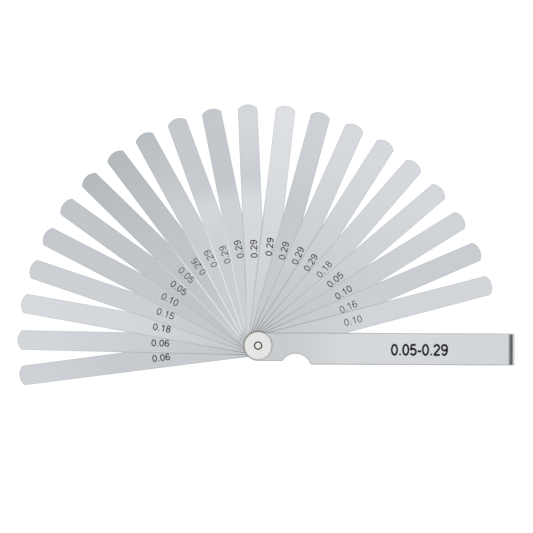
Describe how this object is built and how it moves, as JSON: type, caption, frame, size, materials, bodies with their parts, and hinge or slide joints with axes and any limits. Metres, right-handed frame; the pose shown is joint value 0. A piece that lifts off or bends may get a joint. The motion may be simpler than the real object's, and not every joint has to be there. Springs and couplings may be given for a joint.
{
  "type": "long feeler gauge",
  "caption": "Long feeler gauge: thin marked steel leaves fanned out on a riveted pivot, with a folded sheet case that they close into.",
  "frame": {"origin": "where the pivot axis meets the rest face, the rear washer's and pin's flat end", "axes": "+X along the case from the pivot to the fold, +Y to the side the leaves fan out on, +Z along the pivot axis to the face with the markings"},
  "size_m": [0.3186, 0.1804, 0.0095],
  "materials": {
    "case_steel": "brushed along its length, satin",
    "leaf_steel": "finely ground along its length, satin",
    "washer_steel": "fine satin, bright",
    "pin_steel": "fine satin, bright",
    "marking": "matt dark etched figures"
  },
  "bodies": {
    "case": {"case": "case_steel", "front_washer": "washer_steel", "rear_washer": "washer_steel", "pivot_pin": "pin_steel"},
    "leaf_01": {"leaf_01": "leaf_steel"},
    "leaf_02": {"leaf_02": "leaf_steel"},
    "leaf_03": {"leaf_03": "leaf_steel"},
    "leaf_04": {"leaf_04": "leaf_steel"},
    "leaf_05": {"leaf_05": "leaf_steel"},
    "leaf_06": {"leaf_06": "leaf_steel"},
    "leaf_07": {"leaf_07": "leaf_steel"},
    "leaf_08": {"leaf_08": "leaf_steel"},
    "leaf_09": {"leaf_09": "leaf_steel"},
    "leaf_10": {"leaf_10": "leaf_steel"},
    "leaf_11": {"leaf_11": "leaf_steel"},
    "leaf_12": {"leaf_12": "leaf_steel"},
    "leaf_13": {"leaf_13": "leaf_steel"},
    "leaf_14": {"leaf_14": "leaf_steel"},
    "leaf_15": {"leaf_15": "leaf_steel"},
    "leaf_16": {"leaf_16": "leaf_steel"},
    "leaf_17": {"leaf_17": "leaf_steel"},
    "leaf_18": {"leaf_18": "leaf_steel"},
    "leaf_19": {"leaf_19": "leaf_steel"},
    "leaf_20": {"leaf_20": "leaf_steel"},
    "leaf_21": {"leaf_21": "leaf_steel"}
  },
  "joints": [
    {"name": "leaf_01_swing", "type": "hinge", "parent": "case", "child": "leaf_01", "pos_m": [0, 0, 0.00258], "axis": [0, 0, 1], "range_deg": [-187.6, 172.4]},
    {"name": "leaf_02_swing", "type": "hinge", "parent": "case", "child": "leaf_02", "pos_m": [0, 0, 0.00267], "axis": [0, 0, 1], "range_deg": [-179, 181]},
    {"name": "leaf_03_swing", "type": "hinge", "parent": "case", "child": "leaf_03", "pos_m": [0, 0, 0.00282], "axis": [0, 0, 1], "range_deg": [-170.1, 189.9]},
    {"name": "leaf_04_swing", "type": "hinge", "parent": "case", "child": "leaf_04", "pos_m": [0, 0, 0.00301], "axis": [0, 0, 1], "range_deg": [-161.5, 198.5]},
    {"name": "leaf_05_swing", "type": "hinge", "parent": "case", "child": "leaf_05", "pos_m": [0, 0, 0.00317], "axis": [0, 0, 1], "range_deg": [-152.9, 207.1]},
    {"name": "leaf_06_swing", "type": "hinge", "parent": "case", "child": "leaf_06", "pos_m": [0, 0, 0.00328], "axis": [0, 0, 1], "range_deg": [-144.4, 215.6]},
    {"name": "leaf_07_swing", "type": "hinge", "parent": "case", "child": "leaf_07", "pos_m": [0, 0, 0.00335], "axis": [0, 0, 1], "range_deg": [-135.9, 224.1]},
    {"name": "leaf_08_swing", "type": "hinge", "parent": "case", "child": "leaf_08", "pos_m": [0, 0, 0.00354], "axis": [0, 0, 1], "range_deg": [-127.4, 232.6]},
    {"name": "leaf_09_swing", "type": "hinge", "parent": "case", "child": "leaf_09", "pos_m": [0, 0, 0.00384], "axis": [0, 0, 1], "range_deg": [-119, 241]},
    {"name": "leaf_10_swing", "type": "hinge", "parent": "case", "child": "leaf_10", "pos_m": [0, 0, 0.00417], "axis": [0, 0, 1], "range_deg": [-110.3, 249.7]},
    {"name": "leaf_11_swing", "type": "hinge", "parent": "case", "child": "leaf_11", "pos_m": [0, 0, 0.00449], "axis": [0, 0, 1], "range_deg": [-101.6, 258.4]},
    {"name": "leaf_12_swing", "type": "hinge", "parent": "case", "child": "leaf_12", "pos_m": [0, 0, 0.00481], "axis": [0, 0, 1], "range_deg": [-92.8, 267.2]},
    {"name": "leaf_13_swing", "type": "hinge", "parent": "case", "child": "leaf_13", "pos_m": [0, 0, 0.00513], "axis": [0, 0, 1], "range_deg": [-83.6, 276.4]},
    {"name": "leaf_14_swing", "type": "hinge", "parent": "case", "child": "leaf_14", "pos_m": [0, 0, 0.00545], "axis": [0, 0, 1], "range_deg": [-75, 285]},
    {"name": "leaf_15_swing", "type": "hinge", "parent": "case", "child": "leaf_15", "pos_m": [0, 0, 0.00577], "axis": [0, 0, 1], "range_deg": [-66.3, 293.7]},
    {"name": "leaf_16_swing", "type": "hinge", "parent": "case", "child": "leaf_16", "pos_m": [0, 0, 0.00609], "axis": [0, 0, 1], "range_deg": [-57.8, 302.2]},
    {"name": "leaf_17_swing", "type": "hinge", "parent": "case", "child": "leaf_17", "pos_m": [0, 0, 0.00635], "axis": [0, 0, 1], "range_deg": [-49.3, 310.7]},
    {"name": "leaf_18_swing", "type": "hinge", "parent": "case", "child": "leaf_18", "pos_m": [0, 0, 0.00649], "axis": [0, 0, 1], "range_deg": [-40.7, 319.3]},
    {"name": "leaf_19_swing", "type": "hinge", "parent": "case", "child": "leaf_19", "pos_m": [0, 0, 0.0066], "axis": [0, 0, 1], "range_deg": [-32.1, 327.9]},
    {"name": "leaf_20_swing", "type": "hinge", "parent": "case", "child": "leaf_20", "pos_m": [0, 0, 0.00676], "axis": [0, 0, 1], "range_deg": [-23.5, 336.5]},
    {"name": "leaf_21_swing", "type": "hinge", "parent": "case", "child": "leaf_21", "pos_m": [0, 0, 0.00692], "axis": [0, 0, 1], "range_deg": [-14.9, 345.1]}
  ]
}
